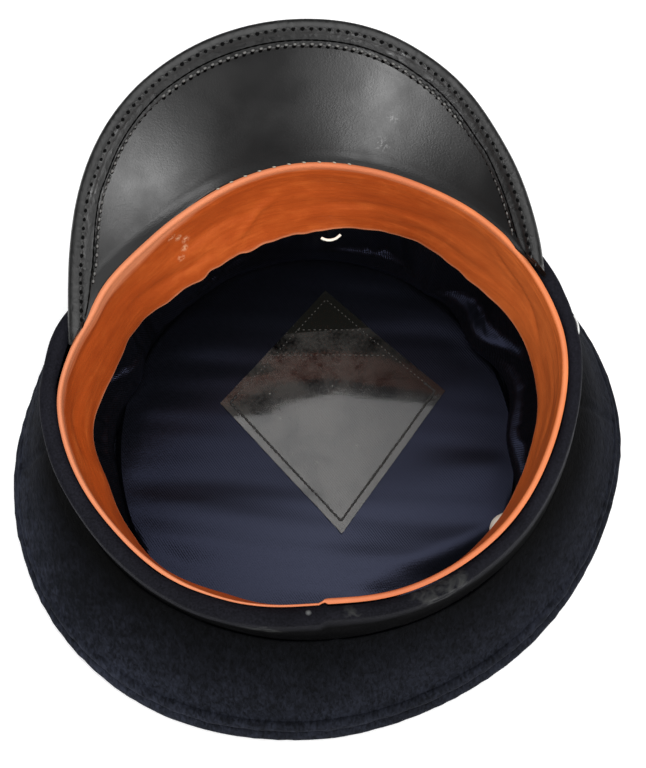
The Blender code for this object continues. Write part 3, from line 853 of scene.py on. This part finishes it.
# Painted light: towards the right side the leather takes paler tans, for the light on its inner face there.
leather_side = wire(tan_leather, "SeparateXYZ", {"Vector": on_leather}).outputs["X"]
leather_lit_right = led(tan_leather, leather_side, 0.046, 0.088, 0.0, 0.75)
leather_colour = mixed(
    tan_leather, leather_lit_right, shades(tan_leather, leather_tone, (0.30, tan_deep), (0.50, tan_mid), (0.80, tan_pale)),
    shades(tan_leather, leather_tone, (0.30, tan_lit_right), (0.75, tan_lit_right_pale)),
)
leather_below = sums(tan_leather, "ADD", wire(
    tan_leather, "VectorMath", {0: on_leather, 1: rim_down}, operation="DOT_PRODUCT",
).outputs["Value"], rim_set_back * math.sin(rim_tilt) + rim_height * math.cos(rim_tilt))
# The pale line along the fold is partly wear and partly painted highlight, wider and stronger towards the left, where
# the fold catches the most light.
pale_fold_reach = led(tan_leather, leather_side, 0.010, -0.090, 0.0010, 0.0056)
pale_fold_most = led(tan_leather, leather_side, 0.020, -0.050, 0.38, 0.68)
pale_fold_depth = sums(tan_leather, "MULTIPLY", pale_fold_reach, sums(tan_leather, "ADD", leather_lines, 0.6))
pale_fold_line = sums(tan_leather, "SUBTRACT", 1.0, sums(tan_leather, "DIVIDE", leather_below, pale_fold_depth))
fold_wear_and_highlight = sums(tan_leather, "MULTIPLY", pale_fold_most, shades(
    tan_leather, pale_fold_line, (0.0, grey(0.0)), (0.60, grey(0.9)),
))
leather_cut = wire(tan_leather, "Attribute", attribute_name="cut_edge").outputs["Fac"]
cut_share = sums(tan_leather, "MULTIPLY", leather_cut, sums(tan_leather, "ADD", leather_lines, 0.25))
leather_shown = mixed(tan_leather, sums(tan_leather, "MAXIMUM", fold_wear_and_highlight, cut_share), leather_colour, tan_wear_and_highlight)
scratch_lines = shades(
    tan_leather, grain(tan_leather, on_leather, 700.0, detail=4.0, warp=1.0), (0.44, grey(0.0)), (0.56, grey(1.0)),
)
for scratch in (
    (-0.0520, 0.0626, 0.0849), (-0.0494, 0.0644, 0.0812), (-0.0468, 0.0655, 0.0770),
    (-0.0475, 0.0640, 0.0731), (-0.0491, 0.0613, 0.0700),
):
    near = close_to(tan_leather, on_leather, scratch, 0.0004, 0.0022)
    leather_shown = mixed(
        tan_leather, sums(tan_leather, "MULTIPLY", near, scratch_lines), leather_shown, scratch_pale,
    )
join(tan_leather, leather_shown, "Base Color")
leather_relief = relief(tan_leather, leather_lines, 0.40, 0.0005)
join(tan_leather, relief(tan_leather, leather_grain, 0.25, 0.0002, leather_relief), "Normal")
show("leather_sweatband", sweatband, tan_leather, "tan_leather", "sweatband")

# ---- The card slip and the tape loop
# A slip of white card is tucked in behind the leather at the rear, and a loop of ivory tape hangs at the front.

ivory = finish("ivory", (0.80, 0.76, 0.66, 1.0), 0.7)
card = soft_copy("paper_slip", 1)
move_points(card, lambda point, normal: leather_pull(point))
show("card_slip", card, ivory, "white_card", "paper_slip")

loop_middle = Vector((0.0118, 0.0788, 0.0549))
loop_radius = 0.0060
loop_facing = Vector((0.0, -0.41, 0.91)).normalized()
loop_start = Vector((-0.60, -0.80 * 0.91, -0.80 * 0.41)).normalized()
loop_along = loop_facing.cross(loop_start).to_track_quat("Z", "Y").to_matrix().to_4x4()
loop_shape = bmesh.new()
bmesh.ops.create_circle(
    loop_shape, cap_ends=True, segments=8, radius=0.0006,
    matrix=Matrix.Translation(loop_middle + loop_start * loop_radius) @ loop_along,
)
bmesh.ops.spin(
    loop_shape, geom=loop_shape.verts[:] + loop_shape.edges[:] + loop_shape.faces[:], cent=loop_middle,
    axis=loop_facing, angle=math.radians(84.0), steps=18, use_duplicate=False,
)
bmesh.ops.recalc_face_normals(loop_shape, faces=loop_shape.faces)
show("ivory_loop", closed_mesh("ivory_loop", loop_shape), ivory, "white_card", "tape_loop")

# ---- The peak
# Stiff black leather, smooth on its under side, which faces up here. It is pressed down in a narrow
# strip along the rim, where it is sewn in, and that leaves a low ridge.

peak_black = (0.0075, 0.0075, 0.0076, 1.0)
peak_slope = math.radians(50.0)
ridge_away = 0.0060
ridge_rise = 0.00010


def tree_of(mesh):
    """A search tree over a mesh, to find the surface nearest to a point."""
    shape = bmesh.new()
    shape.from_mesh(mesh)
    tree = BVHTree.FromBMesh(shape)
    shape.free()
    return tree


def peak_up(angle):
    """The way that the peak's under side faces at an angle, in degrees."""
    turn = math.radians(angle)
    x = -math.sin(turn) * math.sin(peak_slope)
    y = -math.cos(turn) * math.sin(peak_slope)
    z = math.cos(peak_slope)
    return Vector((x, y * math.cos(rim_tilt) - z * math.sin(rim_tilt), y * math.sin(rim_tilt) + z * math.cos(rim_tilt)))


leather_tree = tree_of(sweatband)


def peak_end(point, normal):
    """Draws the peak's left end further along the band, and keeps both its ends outside the leather."""
    angle = on_band(point)[0]
    left = ramp_up(-angle, 61.0, 74.0)
    moved = Vector((0.0, -0.0065, -0.0026)) * left
    angle, radius, depth = on_band(point + moved)
    fold = 0.0916 - (angle + 70.0) * 0.00047 if angle < 0.0 else 0.0936 + (angle - 60.0) * 0.00043
    kept_out = max(fold - radius, 0.0) * max(left, ramp_up(angle, 50.0, 64.0))
    top_left = nearness(angle, -28.0, 18.0) * ramp_up(radius, 0.108, 0.128) * 0.0008
    return moved - inward_at(angle) * (kept_out - top_left)


def peak_move(point, normal):
    """The pressed strip along the rim, its ridge, and slight unevenness."""
    angle = on_band(point)[0]
    away = leather_tree.find_nearest(point)[3]
    ridge = ramp_up(away, ridge_away - 0.0018, ridge_away + 0.0008) * (1.0 - ramp_up(away, ridge_away, 0.026))
    strip = (1.0 - ramp_up(away, 0.0, ridge_away - 0.0012)) * 0.00030
    uneven = noise.noise(point * 40.0) * 0.00010 * ramp_up(away, 0.004, 0.02)
    root = (1.0 - ramp_up(away, 0.0, 0.0015)) * 0.0005
    return peak_up(angle) * (ridge * ridge_rise + strip + uneven) + inward_at(angle) * root


peak = soft_copy("peak", 3)
move_points(peak, peak_end)
move_points(peak, peak_move)
note_share(peak, "near_band", lambda point: 1.0 - ramp_up(leather_tree.find_nearest(point)[3], 0.001, 0.026))
black_leather = finish("black_leather", peak_black, 0.30)
on_peak = wire(black_leather, "TexCoord").outputs["Object"]
# Painted shade: the gloss is weakened near the band, which darkens the peak beside the leather.
peak_painted_dimming = wire(black_leather, "Attribute", attribute_name="near_band").outputs["Fac"]
join(black_leather, led(black_leather, peak_painted_dimming, 0.0, 1.0, 0.46, 0.27), "Specular IOR Level")
peak_clouds = grain(black_leather, on_peak, 70.0, detail=8.0, warp=0.3)
join(black_leather, shades(black_leather, peak_clouds, (0.33, grey(0.29)), (0.67, grey(0.37))), "Roughness")
scuff_marks = shades(
    black_leather, grain(black_leather, on_peak, 420.0, detail=4.0, warp=1.5), (0.53, grey(0.0)), (0.60, grey(1.0)),
)
scuff_share = sums(black_leather, "MULTIPLY", scuff_marks, sums(
    black_leather, "ADD",
    close_to(black_leather, on_peak, (0.0330, 0.0868, 0.1031), 0.0010, 0.0042),
    close_to(black_leather, on_peak, (0.0380, 0.0927, 0.1129), 0.0006, 0.0030),
))
join(black_leather, mixed(black_leather, scuff_share, peak_black, grey(0.10)), "Base Color")
peak_pores = grain(black_leather, on_peak, 1500.0)
peak_rub = grain(black_leather, on_peak, 220.0, stretch=(1.0, 1.0, 0.4), detail=5.0)
peak_relief = relief(black_leather, peak_rub, 0.20, 0.00015)
join(black_leather, relief(black_leather, peak_pores, 0.28, 0.00015, peak_relief), "Normal")
show("leather_peak", peak, black_leather, "black_leather", "peak")

# ---- The peak's binding
# A strip of thin black leather folded round the edge. One row of stitches, sunk in punched holes, runs
# near the edge; a line is pressed in, and a second row holds the strip's inner edge.

binding_reach = 0.0022
outer_row = 0.0022
pressed_line = 0.0067
inner_row = 0.0088
stitch_pitch = 0.0036
leather_gap = 0.0028
peak_left = -75.0
peak_right = 68.5


def outline_of(mesh, first, last, step):
    """The outermost points of a mesh, at even angles round the opening."""
    best = {}
    for vertex in mesh.vertices:
        angle, radius, depth = on_band(vertex.co)
        spot = round((angle - first) / step)
        if 0 <= spot <= round((last - first) / step) and radius > best.get(spot, (0.0, None))[0]:
            best[spot] = (radius, vertex.co.copy())
    points = [best[spot][1] for spot in sorted(best)]
    before, after = points[:1] + points[:-1], points[1:] + points[-1:]
    return [(first + point * 2.0 + last) / 4.0 for first, point, last in zip(before, points, after)]


def even_steps(points, pitch):
    """Points and directions at an even pitch along a line."""
    rows = []
    travelled, wanted = 0.0, pitch / 2.0
    for first, second in zip(points, points[1:]):
        length = (second - first).length
        while wanted <= travelled + length and length > 0.0:
            rows.append((first.lerp(second, (wanted - travelled) / length), (second - first).normalized()))
            wanted += pitch
        travelled += length
    return rows


binding = soft_copy("peak_binding", 3)
move_points(binding, peak_end)
binding_edge = outline_of(binding, peak_left - 1.0, peak_right + 1.0, 1.5)
edge_shape = bmesh.new()
edge_points = [edge_shape.verts.new(point) for point in binding_edge]
for first, second in zip(edge_points, edge_points[1:]):
    edge_shape.faces.new((first, second, edge_shape.verts.new(second.co + Vector((0, 0, 1e-5)))))
edge_tree = BVHTree.FromBMesh(edge_shape)
edge_shape.free()


def binding_move(point, normal):
    """Widens the strip towards the middle of the peak, and presses its line in."""
    angle = on_band(point)[0]
    near, way, index, away = edge_tree.find_nearest(point)
    middle = 0.35 + 0.65 * ramp_up(angle, -44.0, -14.0) * (1.0 - ramp_up(angle, 20.0, 50.0))
    back = point - near
    back -= peak_up(angle) * back.dot(peak_up(angle))
    back = back.normalized() if back.length > 1e-6 else Vector()
    wider = back * binding_reach * middle * ramp_up(away, 0.0040, 0.0078)
    under = max(normal.dot(peak_up(angle)), 0.0)
    far = away + wider.length
    pressed = nearness(far, pressed_line, 0.0006) * 0.00045 + nearness(far, outer_row, 0.0009) * 0.0002
    swell = nearness(far, 0.0044, 0.0013) * 0.00025
    return wider + peak_up(angle) * under * (swell - pressed)


move_points(binding, binding_move)
binding_leather = finish("binding_leather", grey(0.0065), 0.38, Specular_IOR_Level=0.40)
on_binding = wire(binding_leather, "TexCoord").outputs["Object"]
binding_marks = grain(binding_leather, on_binding, 300.0, detail=5.0, warp=0.8)
join(binding_leather, shades(binding_leather, binding_marks, (0.35, grey(0.28)), (0.65, grey(0.52))), "Roughness")
join(binding_leather, relief(binding_leather, binding_marks, 0.6, 0.0006), "Normal")
show("edge_binding", binding, binding_leather, "black_leather", "peak_binding")

seat_trees = (tree_of(binding), tree_of(peak))
# The holes and the pressed line are drawn as dark marks: painted shade for the shadow in them.
inner_stitches, outer_stitches, bridges, holes, outer_holes, pressed = (bmesh.new() for bundle in range(6))
pressed_before = None
for place, along in even_steps(binding_edge, stitch_pitch):
    angle = on_band(place)[0]
    up = peak_up(angle)
    inward = along.cross(up).normalized()
    if inward.dot(inward_at(angle)) < 0.0:
        inward = -inward
    taper = 0.45 + 0.55 * ramp_up(angle, -76.0, -60.0) * (1.0 - ramp_up(angle, 58.0, 74.0))
    uneven = noise.noise(place * 700.0)
    lift = up * 0.0010 * ramp_up(abs(angle + 3.0), 22.0, 34.0)
    seats = []
    for away in (outer_row, inner_row * taper, pressed_line * taper):
        start = place + inward * away + up * 0.008
        found = [tree.ray_cast(start, -up) for tree in seat_trees]
        reached = [hit for hit in found if hit[0] is not None]
        seats.append(min(reached, key=lambda hit: hit[3])[0] if reached else None)
    if seats[0] is not None:
        seat, across = seats[0], inward * uneven * 0.0005
        hole_end = seat + along * (0.0007 + uneven * 0.0004) - across
        sew(outer_holes, seat - along * 0.0009 + across, hole_end, up, 0.0016 + uneven * 0.0004, 0.12)
        start, end = seat + along * 0.0008 - inward * 0.0006, seat + along * 0.0022 + inward * 0.0001
        sew(outer_stitches, start, end, up, 0.0008, 0.45)
    if seats[1] is not None and leather_tree.find_nearest(seats[1])[3] > leather_gap:
        seat, raised, bridge = seats[1], seats[1] + lift, seats[1] + lift * 0.5
        start, end = seat - along * 0.0009 + inward * 0.0004, seat + along * 0.0008 + inward * 0.0003
        sew(holes, start, end, up, 0.0016, 0.20)
        start, end = raised - along * 0.0004 - inward * 0.0005, raised + along * 0.0012 - inward * 0.0005
        sew(inner_stitches, start, end, up, 0.0011, 0.5)
        sew(bridges, bridge + along * 0.0008, bridge + along * 0.0028, up, 0.0010, 0.5)
    if seats[2] is not None and pressed_before is not None:
        step = (seats[2] - pressed_before) * 0.15
        sew(pressed, pressed_before - step, seats[2] + step, up, 0.0008, 0.12)
    pressed_before = seats[2]
# Painted shade: colours for the holes and the pressed line, darker than the black leather.
punched = finish("painted_hole_shade", grey(0.0010), 0.9, Specular_IOR_Level=0.03)
edge_hole_shade = finish("painted_edge_hole_shade", grey(0.0022), 0.9, Specular_IOR_Level=0.05)
# The inner row's thread is paler than the outer row's: a painted highlight on its loops.
highlit_waxed_thread = finish("highlit_waxed_thread", (0.095, 0.093, 0.088, 1.0), 0.35, Specular_IOR_Level=0.6)
dark_thread = finish("dark_thread", (0.030, 0.030, 0.029, 1.0), 0.40, Specular_IOR_Level=0.4)
thread_piece("binding_holes", holes, punched, "black_leather")
thread_piece("binding_edge_holes", outer_holes, edge_hole_shade, "black_leather")
thread_piece("binding_pressed_line", pressed, punched, "black_leather")
thread_piece("binding_bridges", bridges, dark_thread, "black_leather")
thread_piece("binding_inner_stitches", inner_stitches, highlit_waxed_thread, "black_leather")
thread_piece("binding_outer_stitches", outer_stitches, dark_thread, "black_leather")

# ---- The seam between the peak and the sweatband
# Long pale stitches come up through the peak's strip at the front, just outside the leather's fold.

fold_edge = outline_of(sweatband, -24.0, 16.0, 1.0)
seam_stitches = bmesh.new()
for place, along in even_steps(fold_edge, 0.0060):
    angle = on_band(place)[0]
    spot = place - inward_at(angle) * 0.0006 + peak_up(angle) * 0.0008
    end = spot + along * 0.0008 + inward_at(angle) * 0.0004
    sew(seam_stitches, spot - along * 0.0008, end, peak_up(angle), 0.0006, 0.6)
thread_piece("seam_stitches", seam_stitches, finish("seam_thread", (0.30, 0.27, 0.22, 1.0), 0.6), "white_card")

# ---- The side buttons
# Small domed buttons of matt silver metal, one on each side of the band.

silver = finish("silver", (0.62, 0.62, 0.60, 1.0), 0.32, Metallic=1.0)
for name, node, set_in in (
    ("left_button", "side_button_left", 0.0026), ("right_button", "side_button_right", -0.0010),
):
    button = soft_copy(node, 2)
    seat = (Vector(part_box(node)[0]) + Vector(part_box(node)[1])) / 2.0
    shift = rim_pull(seat, *band_drawn) + Vector((set_in, 0.0, 0.0))
    move_points(button, lambda point, normal: shift)
    show(name, button, silver, "silver", node)
